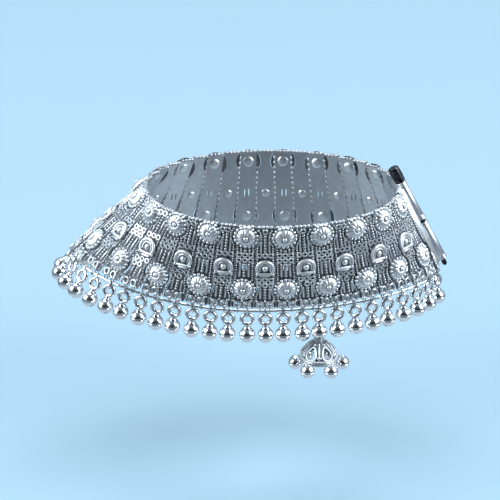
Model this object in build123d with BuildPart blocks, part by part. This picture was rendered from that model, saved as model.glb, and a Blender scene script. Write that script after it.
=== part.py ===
from build123d import *
import math
import os

# A wide bridal payal, worn round an ankle. Millimetres, +Z up, +X towards the heel and the clasp.
# The origin is on the leg's axis, inside the band.

# The band: two edges with the links between them
upper_level = 14.0
upper_half_length = 40.7
upper_half_width = 35.8
lower_half_length = 61.6
lower_half_width = 30.2
lower_shift = -5.4
fall_side = 32.6
fall_front = 23.6
fall_back = 28.6
lower_bias = -0.13

# Links
link_pairs = 20
clasp_width = 15.2
link_gap = 0.4
link_top_share = 0.035
link_foot_share = 0.955
plate_thickness = 0.7
rib_height = 0.4
rib_width = 0.6
cross_bar_height = 0.45
cross_bar_width = 0.8
cross_bar_shares = (0.35, 0.63)
slot_width = 0.7
roll_radius = 1.05
border_hole_radius = 0.6
border_hole_step = 3.1

# Rosettes, as shares of the band's width from its upper edge
upper_rosette_share = 0.15
shell_rosette_share = 0.49
lower_rosette_share = 0.735
rosette_radius = 4.1
rosette_petals = 10
petal_radius = 0.95
rosette_seat = 0.2
rosette_disc = 1.0
dome_radius = 2.5
dome_height = 1.4
dot_radius = 0.55
cap_sink = 0.1
shell_radius = 3.2
shell_rim = 0.5
shell_dome_radius = 1.8
shell_dome_height = 0.9
rosette_clearance = 0.25

# Clasp
barrel_radius = 1.6
barrel_lift = 1.5
barrel_bore = 0.88
pin_radius = 0.8
knuckle_gap = 1.0
bar_pin_clearance = 1.85
bar_thickness = 1.1
bar_rib_places = (0.36, 0.56, 0.76)
bar_rib_width = 0.8
bar_rib_height = 0.5
knob_radius = 1.8
knob_length = 5.5
knob_gap = 0.08
pin_tail = 2.6

# Bells
bell_rows = 10
bells_in_row = 5
bell_start = 4.8
wire_radius = 0.45
collar_radius = 1.3
collar_length = 0.8
ring_radius = 1.85
ring_wire = 0.55
ring_fall = 3.0
ball_radius = 2.6
ball_fall = 8.5
stem_radius = 0.4
front_lean = 0.7
back_lean = 0.25
full_lean_slope = 0.6
sway_degrees = 1.5
row_gap = 0.35
wire_joint = 1.06

# Main drop, in place of one bell
drop_row = 2
drop_place = 4
drop_eyelet_radius = 1.35
drop_eyelet_bore = 0.52
drop_eyelet_length = 0.8
drop_dome_top = 11.45
drop_dome_fall = 17.4
drop_dome_radius = 5.9
drop_dome_wall = 0.7
drop_neck_radius = 1.3
drop_hole_radius = 1.35
drop_bell_count = 6
drop_bell_radius = 2.35
drop_bell_circle = 7.6
drop_bell_fall = 19.5
drop_wire_circle = 6.45
drop_wire_fall = 17.75
drop_wire_radius = 0.35

turn_steps = 1440


def upper_edge(angle):
    """Point of the band's upper edge at an angle round the leg, 0 at the clasp."""
    return Vector(
        upper_half_length * math.cos(angle),
        upper_half_width * math.sin(angle),
        upper_level,
    )


def lower_edge(angle):
    """Point of the band's lower edge, which rises over the instep at the front."""
    along = math.cos(angle)
    across = math.sin(angle)
    fall_end = fall_back if along > 0 else fall_front
    fall = fall_side * across**2 + fall_end * along**2
    return Vector(
        lower_shift + lower_half_length * along,
        lower_half_width * across,
        upper_level - fall,
    )


def running_lengths(edge):
    """Length of an edge from the clasp to each small step round by the near side."""
    lengths = [0.0]
    before = edge(0.0)
    for step in range(1, turn_steps + 1):
        here = edge(-2 * math.pi * step / turn_steps)
        lengths.append(lengths[-1] + (here - before).length)
        before = here
    return lengths


upper_lengths = running_lengths(upper_edge)
lower_lengths = running_lengths(lower_edge)
end_share = clasp_width / 2 / upper_lengths[-1]
bell_end_share = bell_start / lower_lengths[-1]


def angle_at(lengths, share):
    """Angle round the leg at a share of an edge's whole length from the clasp."""
    wanted = share * lengths[-1]
    step = 1
    while step < turn_steps and lengths[step] < wanted:
        step += 1
    part = (wanted - lengths[step - 1]) / (lengths[step] - lengths[step - 1])
    return -2 * math.pi * (step - 1 + part) / turn_steps


def band_points(share):
    """Upper and lower points of the band at a share of its length from the clasp."""
    lower_share = share + lower_bias * math.sin(2 * math.pi * share) / (2 * math.pi)
    upper_point = upper_edge(angle_at(upper_lengths, share))
    lower_point = lower_edge(angle_at(lower_lengths, lower_share))
    return upper_point, lower_point


def band_share(place):
    """Share of the band's length at a place counted in pairs of links, past the end bar."""
    return end_share + (1 - 2 * end_share) * (place - 0.25) / (link_pairs - 0.5)


def strip_frame(first_share, last_share):
    """Plane of a flat strip of the band, and its four corners in that plane, top left first."""
    before = band_points(first_share)
    after = band_points(last_share)
    corners = []
    for share, pair in ((link_top_share, (after, before)), (link_foot_share, (before, after))):
        for upper_point, lower_point in pair:
            corners.append(upper_point + (lower_point - upper_point) * share)
    left_top, right_top, right_foot, left_foot = corners
    top = (left_top + right_top) * 0.5
    foot = (left_foot + right_foot) * 0.5
    across = (right_top - left_top).normalized() + (right_foot - left_foot).normalized()
    outwards = across.cross(top - foot).normalized()
    plane = Plane(origin=top, x_dir=across, z_dir=outwards)
    flat = []
    for corner, side in zip(corners, (1, -1, -1, 1)):
        local = plane.to_local_coords(corner)
        flat.append((local.X + side * link_gap / 2, local.Y))
    return plane, flat


def link_frame(place):
    """Plane and corners of the link at a place, half a pair wide."""
    return strip_frame(band_share(place - 0.25), band_share(place + 0.25))


def side_at(flat, share, side):
    """Left (0) or right (1) edge of a link at a share of its height."""
    top_x = flat[0][0] if side == 0 else flat[1][0]
    foot_x = flat[3][0] if side == 0 else flat[2][0]
    return top_x + (foot_x - top_x) * share


def middle_at(flat, share):
    """Point of a link's middle line, in its plane, at a share of the band's width."""
    own = (share - link_top_share) / (link_foot_share - link_top_share)
    foot = (flat[2][1] + flat[3][1]) / 2
    middle = (side_at(flat, own, 0) + side_at(flat, own, 1)) / 2
    return middle, foot * own


def slanted_strip(flat, across, width, start, end):
    """Outline of a strip down a link at a share across it, between two shares of its height."""
    foot = (flat[2][1] + flat[3][1]) / 2
    corners = []
    for share, shift in ((start, -1), (start, 1), (end, 1), (end, -1)):
        left = side_at(flat, share, 0)
        right = side_at(flat, share, 1)
        middle = left + (right - left) * across
        corners.append((middle + shift * width / 2, foot * share))
    return corners


def cap_size(radius, height):
    """Sphere radius and lowest latitude of a round cap of a given rim radius and height."""
    sphere_radius = (radius**2 + height**2) / (2 * height)
    latitude = math.degrees(math.asin((sphere_radius - height) / sphere_radius))
    return sphere_radius, latitude


def add_cap(radius, height, base):
    """Round cap standing on a level, sunk in a little."""
    sphere_radius, latitude = cap_size(radius, height + cap_sink)
    with Locations((0, 0, base - cap_sink)):
        Sphere(
            sphere_radius,
            arc_size1=latitude,
            align=(Align.CENTER, Align.CENTER, Align.MIN),
        )


def make_rosette():
    """Large rosette: scalloped disc with a dome and a centre dot."""
    top = rosette_seat + rosette_disc
    with BuildPart() as rosette:
        with BuildSketch(Plane.XY.offset(rosette_seat)):
            Circle(rosette_radius - petal_radius * 0.6)
            with PolarLocations(rosette_radius - petal_radius, rosette_petals):
                Circle(petal_radius)
        extrude(amount=rosette_disc)
        add_cap(dome_radius, dome_height, top)
        with Locations((0, 0, top + dome_height)):
            Sphere(dot_radius)
    return rosette.part


def make_shell_rosette():
    """Small rosette: a rimmed disc with a domed middle and a flat bar at its foot."""
    top = rosette_seat + rosette_disc
    with BuildPart() as rosette:
        with BuildSketch(Plane.XY.offset(rosette_seat)):
            Circle(shell_radius)
        extrude(amount=rosette_disc)
        with BuildSketch(Plane.XY.offset(top - 0.1)):
            Circle(shell_radius)
            Circle(shell_radius - 0.8, mode=Mode.SUBTRACT)
            with Locations((0, -shell_radius + 1.1)):
                Rectangle(shell_radius * 1.4, 0.8)
        extrude(amount=shell_rim + 0.1)
        add_cap(shell_dome_radius, shell_dome_height, top)
    return rosette.part


def rosette_place(place, share):
    """Where a rosette sits on the link at a place, with +Z outwards."""
    plane, flat = link_frame(place)
    across, up = middle_at(flat, share)
    return plane.location * Location((across, up, 0))


def make_link(label, place, rosettes, slots, neighbours):
    """A flat upright link with ribs, cross bars, a rolled top and border holes.

    Its outline gives way to the rosettes of the links beside it, and it carries its own.
    """
    plane, flat = link_frame(place)
    foot = (flat[2][1] + flat[3][1]) / 2
    with BuildPart() as link:
        with BuildSketch(plane):
            with BuildLine():
                Polyline(*flat, close=True)
            make_face()
        extrude(amount=plate_thickness)
        with BuildSketch(plane.offset(plate_thickness - 0.1)):
            for across in (0.12, 0.5, 0.88):
                with BuildLine():
                    Polyline(*slanted_strip(flat, across, rib_width, 0.04, 0.93), close=True)
                make_face()
        extrude(amount=rib_height + 0.1)
        with BuildSketch(plane.offset(plate_thickness - 0.1)):
            for share in cross_bar_shares:
                own = share
                left = side_at(flat, own, 0)
                right = side_at(flat, own, 1)
                with Locations(((left + right) / 2, foot * own)):
                    Rectangle(right - left, cross_bar_width)
        extrude(amount=cross_bar_height + 0.1)
        with BuildSketch(plane):
            for start, end in slots:
                for across in (0.31, 0.69):
                    with BuildLine():
                        Polyline(*slanted_strip(flat, across, slot_width, start, end), close=True)
                    make_face()
            foot_middle = (flat[2][0] + flat[3][0]) / 2
            with Locations((foot_middle, foot + 1.35)):
                with GridLocations(border_hole_step, 1, 2, 1):
                    Circle(border_hole_radius)
        extrude(amount=3, mode=Mode.SUBTRACT)
        top_width = flat[1][0] - flat[0][0]
        roll_place = plane.location * Location((0, -0.3, plate_thickness / 2), (0, 90, 0))
        with Locations(roll_place):
            Cylinder(roll_radius, top_width)
        for away in (-0.5, 0.5):
            for share, radius in neighbours:
                with Locations(rosette_place(place + away, share)):
                    Cylinder(radius + rosette_clearance, 8, mode=Mode.SUBTRACT)
        for kind, share in rosettes:
            with Locations(rosette_place(place, share)):
                add(kind)
    link.part.label = label
    return link.part


def clasp_plane():
    """Plane of the clasp: origin at the top of the pin's line, +Y of the plane up along it."""
    top, foot = band_points(0.0)
    upwards = (top - foot).normalized()
    across = Vector(0, 1, 0)
    plane = Plane(origin=top, x_dir=across, z_dir=across.cross(upwards))
    return plane, (top - foot).length


def make_end_bar(label, side, knuckle):
    """Striped end bar on one side of the pin, with its own barrel knuckle.

    The side is -1 for the near bar and 1 for the far one.
    """
    if side < 0:
        plane, flat = strip_frame(0.0, end_share)
        pin_top, pin_foot = flat[1], flat[2]
        far_top, far_foot = flat[0], flat[3]
    else:
        plane, flat = strip_frame(1 - end_share, 1.0)
        pin_top, pin_foot = flat[0], flat[3]
        far_top, far_foot = flat[1], flat[2]
    knuckle_top, knuckle_foot = knuckle
    foot = (flat[2][1] + flat[3][1]) / 2
    clasp, length = clasp_plane()
    with BuildPart() as bar:
        with BuildSketch(plane):
            with BuildLine():
                Polyline(
                    (pin_top[0] + side * bar_pin_clearance, 0),
                    (pin_foot[0] + side * bar_pin_clearance, foot),
                    far_foot,
                    far_top,
                    close=True,
                )
            make_face()
            with BuildLine():
                shift = length * link_top_share
                web_levels = (min(knuckle_top + shift, 0), knuckle_foot + shift)
                Polyline(
                    (pin_top[0] - side * 0.4, web_levels[0]),
                    (pin_foot[0] - side * 0.4, web_levels[1]),
                    (pin_foot[0] + side * 2.5, web_levels[1]),
                    (pin_top[0] + side * 2.5, web_levels[0]),
                    close=True,
                )
            make_face()
        extrude(amount=bar_thickness)
        for across in bar_rib_places:
            top_x = pin_top[0] + (far_top[0] - pin_top[0]) * across
            foot_x = pin_foot[0] + (far_foot[0] - pin_foot[0]) * across
            with BuildSketch(plane.offset(bar_thickness - 0.1)):
                with BuildLine():
                    Polyline(
                        (top_x - bar_rib_width / 2, -0.3),
                        (top_x + bar_rib_width / 2, -0.3),
                        (foot_x + bar_rib_width / 2, foot + 0.3),
                        (foot_x - bar_rib_width / 2, foot + 0.3),
                        close=True,
                    )
                make_face()
            extrude(amount=bar_rib_height + 0.1)
        middle = (knuckle_top + knuckle_foot) / 2
        barrel_place = clasp.location * Location((0, middle, barrel_lift), (90, 0, 0))
        with Locations(barrel_place):
            Cylinder(barrel_radius, knuckle_top - knuckle_foot)
        beside = 0.5 if side < 0 else link_pairs - 0.5
        for share in (upper_rosette_share, lower_rosette_share):
            with Locations(rosette_place(beside, share)):
                Cylinder(rosette_radius + rosette_clearance, 8, mode=Mode.SUBTRACT)
        bore_place = clasp.location * Location((0, foot / 2, barrel_lift), (90, 0, 0))
        with Locations(bore_place):
            Cylinder(barrel_bore, length + 10, mode=Mode.SUBTRACT)
    bar.part.label = label
    return bar.part


def make_clasp_pin():
    """Rod through both barrels, with a barrel-shaped knob resting on the upper one."""
    plane, length = clasp_plane()
    barrel_foot = -length * link_foot_share
    rod_length = knob_gap + 1 - barrel_foot + pin_tail
    rod_middle = knob_gap + 1 - rod_length / 2
    with BuildPart() as pin:
        with Locations(plane.location * Location((0, rod_middle, barrel_lift), (90, 0, 0))):
            Cylinder(pin_radius, rod_length)
        knob_base = plane.location * Location((0, knob_gap, barrel_lift), (-90, 0, 0))
        with BuildSketch(Plane(knob_base)):
            Circle(knob_radius)
        extrude(amount=knob_length)
        chamfer(pin.faces().sort_by(Axis((0, 0, 0), plane.y_dir))[-1].edges(), 0.4)
        for groove in (0.25, 0.75):
            groove_place = plane.location * Location(
                (0, knob_gap + knob_length * groove, barrel_lift), (90, 0, 0)
            )
            with Locations(groove_place):
                Torus(knob_radius, 0.22, mode=Mode.SUBTRACT)
    pin.part.label = "clasp_pin"
    return pin.part


def bell_share(row, place):
    """Share of the band's length at a bell, or between bells at half places.

    The bells are evenly spaced along the lower edge.
    """
    along = ((row - 1) * bells_in_row + place - 0.5) / (bell_rows * bells_in_row)
    lower_share = bell_end_share + (1 - 2 * bell_end_share) * along
    return lower_share - lower_bias * math.sin(2 * math.pi * lower_share) / (2 * math.pi)


def wire_point(row, place):
    """Point of the border wire's middle line, whose straight runs change at half places."""
    if place % 1:
        return band_points(bell_share(row, place))[1]
    return (wire_point(row, place - 0.5) + wire_point(row, place + 0.5)) * 0.5


def hanging_plane(row, place, sway):
    """Plane of a hanging bell: origin on the border wire, +Y of the plane up, +Z outwards."""
    upper_point, lower_point = band_points(bell_share(row, place))
    across = (wire_point(row, place - 0.5) - wire_point(row, place + 0.5)).normalized()
    slope = (lower_point - upper_point).normalized()
    lean = back_lean if slope.X > 0 else front_lean
    weight = lean * min(1.0, abs(slope.X) / full_lean_slope)
    down = Vector(0, 0, -1) * (1 - weight) + slope * weight
    down = (down - across * down.dot(across)).normalized()
    face = across.cross(down * -1)
    across = across.rotate(Axis((0, 0, 0), face), sway)
    return Plane(origin=wire_point(row, place), x_dir=across, z_dir=face)


def make_bell_row(row):
    """A stretch of border wire with its rings and round bells, soldered together."""
    with BuildPart() as bells:
        for place in range(1, bells_in_row + 1):
            start = wire_point(row, place - 0.5)
            end = wire_point(row, place + 0.5)
            along = (end - start).normalized()
            if place == 1:
                start += along * row_gap / 2
            if place == bells_in_row:
                end -= along * row_gap / 2
            else:
                with Locations(Plane(origin=end, z_dir=along).location):
                    Sphere(wire_radius * wire_joint)
            with BuildSketch(Plane(origin=start, z_dir=along)):
                Circle(wire_radius)
            extrude(amount=(end - start).length)
        for place in range(1, bells_in_row + 1):
            if row == drop_row and place == drop_place:
                continue
            number = (row - 1) * bells_in_row + place
            sway = sway_degrees * math.sin(2.1 * number + 0.4)
            plane = hanging_plane(row, place, sway)
            with Locations(plane.location * Location((0, 0, 0), (0, 90, 0))):
                Cylinder(collar_radius, collar_length)
            with Locations(plane.location * Location((0, -ring_fall, 0))):
                Torus(ring_radius, ring_wire)
            stem_middle = -(ring_fall + ring_radius + ball_fall) / 2
            with Locations(plane.location * Location((0, stem_middle, 0), (90, 0, 0))):
                Cylinder(stem_radius, ball_fall - ring_fall - ring_radius)
            with Locations(plane.location * Location((0, -ball_fall, 0))):
                Sphere(ball_radius)
    bells.part.label = f"bell_row_{row}"
    return bells.part


def drop_location():
    """Where the main drop hangs: on the border wire, straight down."""
    before = wire_point(drop_row, drop_place - 0.5)
    after = wire_point(drop_row, drop_place + 0.5)
    across = Vector(before.X - after.X, before.Y - after.Y, 0).normalized()
    face = across.cross(Vector(0, 0, 1))
    return Plane(origin=wire_point(drop_row, drop_place), x_dir=across, z_dir=face)


def make_drop_hanger():
    """Eyelet running on the border wire, ring and round bell at the top of the main drop."""
    plane = drop_location()
    along = wire_point(drop_row, drop_place - 0.5) - wire_point(drop_row, drop_place + 0.5)
    on_wire = Plane(origin=plane.origin, z_dir=along).location
    with BuildPart() as hanger:
        with Locations(on_wire):
            Cylinder(drop_eyelet_radius, drop_eyelet_length)
        with Locations(plane.location * Location((0, -ring_fall, 0))):
            Torus(ring_radius, ring_wire)
        stem_middle = -(ring_fall + ring_radius + ball_fall) / 2
        with Locations(plane.location * Location((0, stem_middle, 0), (90, 0, 0))):
            Cylinder(stem_radius, ball_fall - ring_fall - ring_radius)
        with Locations(plane.location * Location((0, -ball_fall, 0))):
            Sphere(ball_radius)
        with Locations(on_wire):
            Cylinder(drop_eyelet_bore, drop_eyelet_length * 2, mode=Mode.SUBTRACT)
    hanger.part.label = "drop_hanger"
    return hanger.part


def make_drop_dome():
    """Openwork bell-shaped dome, open below."""
    plane = drop_location()
    origin = plane.origin
    standing = Plane(origin=origin, z_dir=Vector(0, 0, 1))
    side = Plane(origin=origin, x_dir=plane.x_dir, z_dir=plane.z_dir)
    height = drop_dome_fall - drop_dome_top
    outer_bend = (drop_dome_radius * 0.8, -drop_dome_top - height * 0.45)
    with BuildPart() as dome:
        with BuildSketch(side):
            with BuildLine():
                Line((0, -drop_dome_top), (drop_neck_radius, -drop_dome_top))
                ThreePointArc(
                    (drop_neck_radius, -drop_dome_top),
                    outer_bend,
                    (drop_dome_radius, -drop_dome_fall),
                )
                Line(
                    (drop_dome_radius, -drop_dome_fall),
                    (drop_dome_radius - drop_dome_wall, -drop_dome_fall),
                )
                ThreePointArc(
                    (drop_dome_radius - drop_dome_wall, -drop_dome_fall),
                    (outer_bend[0] - drop_dome_wall, outer_bend[1] - drop_dome_wall * 0.5),
                    (0.3, -drop_dome_top - drop_dome_wall),
                )
                Line((0.3, -drop_dome_top - drop_dome_wall), (0, -drop_dome_top - drop_dome_wall))
                Line((0, -drop_dome_top - drop_dome_wall), (0, -drop_dome_top))
            make_face()
        revolve(axis=Axis(origin, (0, 0, 1)))
        hole_level = -(drop_dome_top + height * 0.62)
        for turn in range(drop_bell_count):
            angle = 360 * turn / drop_bell_count
            hole_place = standing.location * Location((0, 0, hole_level), (0, 0, angle))
            with Locations(hole_place * Location((drop_dome_radius, 0, 0), (0, 90, 0))):
                Cylinder(drop_hole_radius, drop_dome_radius, mode=Mode.SUBTRACT)
    dome.part.label = "drop_dome"
    return dome.part


def make_drop_bells():
    """Six little bells joined by a wire just under the dome's rim."""
    plane = drop_location()
    standing = Plane(origin=plane.origin, z_dir=Vector(0, 0, 1))
    with BuildPart() as bells:
        with Locations(standing.location * Location((0, 0, -drop_wire_fall))):
            Torus(drop_wire_circle, drop_wire_radius)
        for turn in range(drop_bell_count):
            angle = 360 * turn / drop_bell_count
            bell_place = standing.location * Location((0, 0, -drop_bell_fall), (0, 0, angle))
            with Locations(bell_place * Location((drop_bell_circle, 0, 0))):
                Sphere(drop_bell_radius)
    bells.part.label = "drop_bells"
    return bells.part


def make_all():
    """Every piece of the anklet with its name."""
    pieces = {}
    rosette = make_rosette()
    shell = make_shell_rosette()
    large = ((rosette, upper_rosette_share), (rosette, lower_rosette_share))
    small = ((shell, shell_rosette_share),)
    large_beside = ((upper_rosette_share, rosette_radius), (lower_rosette_share, rosette_radius))
    small_beside = ((shell_rosette_share, shell_radius),)
    for number in range(1, link_pairs + 1):
        label = f"rosette_link_{number:02d}"
        slots = ((0.4, 0.58),)
        pieces[label] = make_link(label, number - 0.5, large, slots, small_beside)
    for number in range(1, link_pairs):
        label = f"shell_link_{number:02d}"
        pieces[label] = make_link(label, number, small, (), large_beside)
    length = clasp_plane()[1]
    foot = -length * link_foot_share
    pieces["end_bar_near"] = make_end_bar("end_bar_near", -1, (0.0, foot / 2 + knuckle_gap / 2))
    pieces["end_bar_far"] = make_end_bar("end_bar_far", 1, (foot / 2 - knuckle_gap / 2, foot))
    pieces["clasp_pin"] = make_clasp_pin()
    for row in range(1, bell_rows + 1):
        pieces[f"bell_row_{row}"] = make_bell_row(row)
    pieces["drop_hanger"] = make_drop_hanger()
    pieces["drop_dome"] = make_drop_dome()
    pieces["drop_bells"] = make_drop_bells()
    return pieces


os.makedirs("parts", exist_ok=True)
for name, piece in make_all().items():
    export_step(piece, f"parts/{name}.step")
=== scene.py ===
import bpy
import math
import numpy as np
from mathutils import Matrix, Vector
from mathutils.geometry import tessellate_polygon


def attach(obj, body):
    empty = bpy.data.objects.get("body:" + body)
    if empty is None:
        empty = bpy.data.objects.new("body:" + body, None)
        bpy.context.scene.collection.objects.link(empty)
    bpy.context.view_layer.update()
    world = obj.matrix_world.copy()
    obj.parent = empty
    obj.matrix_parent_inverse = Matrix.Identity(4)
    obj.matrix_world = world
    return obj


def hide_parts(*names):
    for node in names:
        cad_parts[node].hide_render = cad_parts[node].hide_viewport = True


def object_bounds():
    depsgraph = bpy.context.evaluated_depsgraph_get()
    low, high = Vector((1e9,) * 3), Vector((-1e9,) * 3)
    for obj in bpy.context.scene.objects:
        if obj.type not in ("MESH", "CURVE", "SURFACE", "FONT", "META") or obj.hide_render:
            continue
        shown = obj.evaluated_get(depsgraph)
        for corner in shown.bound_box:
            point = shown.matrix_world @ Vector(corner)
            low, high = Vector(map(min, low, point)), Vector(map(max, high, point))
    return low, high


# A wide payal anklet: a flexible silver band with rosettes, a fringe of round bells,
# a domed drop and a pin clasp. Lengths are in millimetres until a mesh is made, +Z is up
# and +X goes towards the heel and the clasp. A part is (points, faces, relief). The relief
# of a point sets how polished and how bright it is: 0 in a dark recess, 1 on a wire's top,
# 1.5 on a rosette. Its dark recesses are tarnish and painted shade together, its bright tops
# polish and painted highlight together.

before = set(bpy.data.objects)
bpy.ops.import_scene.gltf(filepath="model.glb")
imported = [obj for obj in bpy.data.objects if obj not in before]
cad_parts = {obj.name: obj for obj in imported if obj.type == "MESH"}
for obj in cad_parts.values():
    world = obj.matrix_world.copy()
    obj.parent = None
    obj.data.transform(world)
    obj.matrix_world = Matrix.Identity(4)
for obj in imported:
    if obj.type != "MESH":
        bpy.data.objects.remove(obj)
cad_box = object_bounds()

MM = 0.001

# The band's two edges
UPPER_LEVEL = 14.0
UPPER_HALF_LENGTH = 40.7
UPPER_HALF_WIDTH = 35.8
LOWER_HALF_LENGTH = 61.6
LOWER_HALF_WIDTH = 30.2
LOWER_SHIFT = -5.4
FALL_SIDE = 32.6
FALL_FRONT = 23.6
FALL_BACK = 28.6
# Below zero, the links' feet lie nearer the clasp than an even spread would put them
LOWER_BIAS = -0.13
TURN_STEPS = 1440

# Links: shares are of the band's width, from its upper edge
LINK_PAIRS = 20
CLASP_WIDTH = 15.2
LINK_GAP = 0.4
TOP_SHARE = 0.035
FOOT_SHARE = 0.955
PLATE = 0.7
UPPER_ROSETTE = 0.15
SHELL_ROSETTE = 0.49
LOWER_ROSETTE = 0.735
ROSETTE_RADIUS = 4.1
SHELL_RADIUS = 3.2
ROSETTE_CLEARANCE = 0.25
CROSS_BARS = (0.35, 0.63)
BITE_STEPS = 9

# Ornament on the links: RIB_FOOT and SLOT_SHARE are shares of a link's own height, and
# the places of slots, ribs and columns of rings are shares of its width
PETALS = 14
GRANULES = 17
GRANULE_CIRCLE = 3.5
# Turned outlines: radius, height, relief. Their low relief at the feet is painted shade with tarnish, their
# high relief on the domes painted highlight with polish
ROSETTE_DISC = ((4.22, 0.03, 0.3), (4.24, 0.3, 0.35), (3.9, 0.7, 0.2), (0.0, 0.75, 0.1))
ROSETTE_DOME = (
    (3.02, 0.7, 0.1), (3.1, 1.1, 0.6), (2.98, 1.4, 1.2), (2.68, 1.75, 1.5), (2.25, 2.08, 1.5),
    (1.8, 2.3, 1.5), (1.4, 2.4, 1.5), (1.2, 2.38, 1.1), (1.08, 2.26, 0.6), (0.0, 2.26, 0.6),
)
ROSETTE_BEAD_LEVEL = 2.26
SHELL_DISC = ((3.05, 0.15, 0.3), (3.15, 0.9, 0.5), (2.95, 1.15, 0.35), (0.0, 1.15, 0.3))
SHELL_DOTS = 9
LACE_ROW = 1.95
LACE_COLUMNS = (0.19, 0.5, 0.81)
RIB_PLACES = (0.27, 0.5, 0.73)
RIB_FOOT = 0.885
RIB_RADIUS = 0.36
# A beaded rib's radius and pitch, and each ring's radius and wire
BEADED_RIB = (0.52, 1.05)
LACE_RING = (0.72, 0.3)
EYE_RING = (1.08, 0.36)
GRANULE_PITCH = 0.86
GRANULE_INSET = 0.42
SPAN_STEPS = 60
SHORTEST_SPAN = 0.6
EYE_STEP = 3.1
EYE_LIFT = 1.35
EYE_RADIUS = 0.72
SLOT_PLACES = (0.385, 0.615)
SLOT_SHARE = 0.49
HINGE_PITCH = 1.9
HINGE_KNUCKLES = (
    # place along it, radius, relief of both ends of a wide knuckle and of a narrow one
    ((0.04, 0.4, 0.75), (0.96, 0.4, 0.75)),
    ((0.04, 0.34, 0.5), (0.96, 0.34, 0.5)),
)

# A bead of a beaded wire: place along it, share of its radius, relief
BEAD = ((0.04, 0.45, 0.2), (0.25, 0.9, 0.9), (0.5, 1.0, 1.0), (0.75, 0.9, 0.9), (0.96, 0.45, 0.2))

# Bells
BELL_ROWS = 10
BELLS_IN_ROW = 5
BELL_START = 4.8
WIRE_RADIUS = 0.45
RING_RADIUS = 1.73
RING_WIRE = 0.71
RING_FALL = 3.0
EYELET_TOP = 0.76
EYELET_FOOT = -2.2
EYELET_HALF_WIDTH = 0.74
EYELET_WIRE = 0.28
BALL_RADIUS = 2.6
BALL_FALL = 8.5
FRONT_LEAN = 0.7
BACK_LEAN = 0.25
FULL_LEAN_SLOPE = 0.6
SWAY_DEGREES = 1.5
SLIT_SWING = 40

# Drop
DROP_ROW = 2
DROP_PLACE = 4
DOME_TOP = 11.45
DOME_FALL = 17.4
DOME_RADIUS = 5.9
DOME_NECK = 1.3
DOME_WALL = 0.45
DOME_COLUMNS = 144
DOME_LEVELS = 36
# Length down the dome's wall, from its top to its rim
DOME_SLOPE = 6.2
DOME_CAP = (
    # radius, height, relief
    (1.9, -0.75, 0.3), (1.95, -0.4, 0.8), (1.5, -0.05, 1.0), (0.9, 0.1, 1.0), (0.0, 0.15, 1.0),
)
DOME_BEADS = (
    # degrees from a window's middle, share of the dome's height, radius
    (30.0, 0.52, 0.38), (26.0, 0.7, 0.46), (34.0, 0.7, 0.46), (0.0, 0.14, 0.4),
)
FOOT_BEADS = 42
# Windows: share of the dome's height at their widest, then half width in degrees and
# height as a share, above that level and below it
WINDOW_SHARE = 0.6
WINDOW_ABOVE = (17.5, 0.37)
WINDOW_BELOW = (19.0, 0.27)
ROUND_WINDOW_SHARE = 0.36
ROUND_WINDOW_RADIUS = 0.42
WINDOW_WIRE = 0.27
DOME_RIB_RADIUS = 0.22
DOME_FOOT_WIRE = 0.34
DROP_BELLS = 6
DROP_BELL_RADIUS = 2.35
DROP_BELL_CIRCLE = 7.6
DROP_BELL_FALL = 19.5
DROP_WIRE_CIRCLE = 6.45
DROP_WIRE_FALL = 17.75
DROP_WIRE_RADIUS = 0.35
DROP_EYELET_RADIUS = 1.35
DROP_EYELET_BORE = 0.52
DROP_EYELET_LENGTH = 0.8

# Clasp
BARREL_RADIUS = 1.6
BARREL_BORE = 0.88
BARREL_LIFT = 1.5
PIN_RADIUS = 0.8
PIN_TAIL = 2.6
KNUCKLE_GAP = 1.0
BAR_CLEARANCE = 1.85
BAR_THICKNESS = 1.1
# Rods of an end bar: place across it from the pin's side, radius
BAR_STRIPES = ((0.07, 0.55), (0.3, 0.62), (0.53, 0.62), (0.76, 0.62), (0.94, 0.42))
WEB_REACHES = (1.2, 2.6)
COLLAR_INSETS = (0.35, 1.1)
COLLAR_WIRE = 0.24
KNOB_RADIUS = 1.8
KNOB_LENGTH = 5.5
KNOB_GAP = 0.08
KNOB_PROFILE = (
    # share of the knob's length, swell
    (0.03, 0.0), (0.14, 0.04), (0.18, -0.2), (0.22, 0.05), (0.5, 0.1),
    (0.78, 0.05), (0.82, -0.2), (0.86, 0.04), (0.95, -0.06),
)

# Stops of ramps: place, and colour or roughness. Those of silver and of bells run from
# a dark recess to a bright top, those of the floor from the anklet outwards. The dark end
# is tarnish and painted shade, the bright end polish and painted highlight
SILVER_COLOURS = (
    (0.1, (0.012, 0.014, 0.018)),
    (0.25, (0.13, 0.14, 0.155)),
    (0.42, (0.5, 0.53, 0.56)),
    (0.6, (0.72, 0.755, 0.79)),
    (0.8, (0.84, 0.87, 0.9)),
)
SILVER_ROUGHNESS = ((0.1, 0.6), (0.5, 0.33), (0.6, 0.34), (0.8, 0.46))
BELL_COLOURS = (
    (0.1, (0.02, 0.02, 0.024)),
    (0.6, (0.56, 0.59, 0.62)),
    (1.0, (0.88, 0.915, 0.95)),
)
STEEL_COLOURS = (
    (0.35, (0.018, 0.02, 0.026)),
    (0.65, (0.06, 0.065, 0.08)),
)
# The floor is darker under the anklet and paler far out: painted light that makes up for the light falling
# off across the floor
FLOOR_COLOURS = (
    (0.0, (0.22, 0.325, 0.405)),
    (1.0, (0.39, 0.51, 0.61)),
)
# Colour of the floor as the metal mirrors it: a painted pool of light close under the anklet, dim further
# out
MIRRORED_FLOOR_COLOURS = (
    (0.065, (0.25, 0.27, 0.29)),
    (0.13, (0.06, 0.071, 0.08)),
)

PALE_COLOUR = (0.8, 0.92, 1.0, 1.0)
PALE_STRENGTH = 1.1
MIRRORED_COLOUR = (0.72, 0.86, 1.0, 1.0)
BACKGROUND_COLOUR = (0.36, 0.55, 0.7, 1.0)

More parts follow.
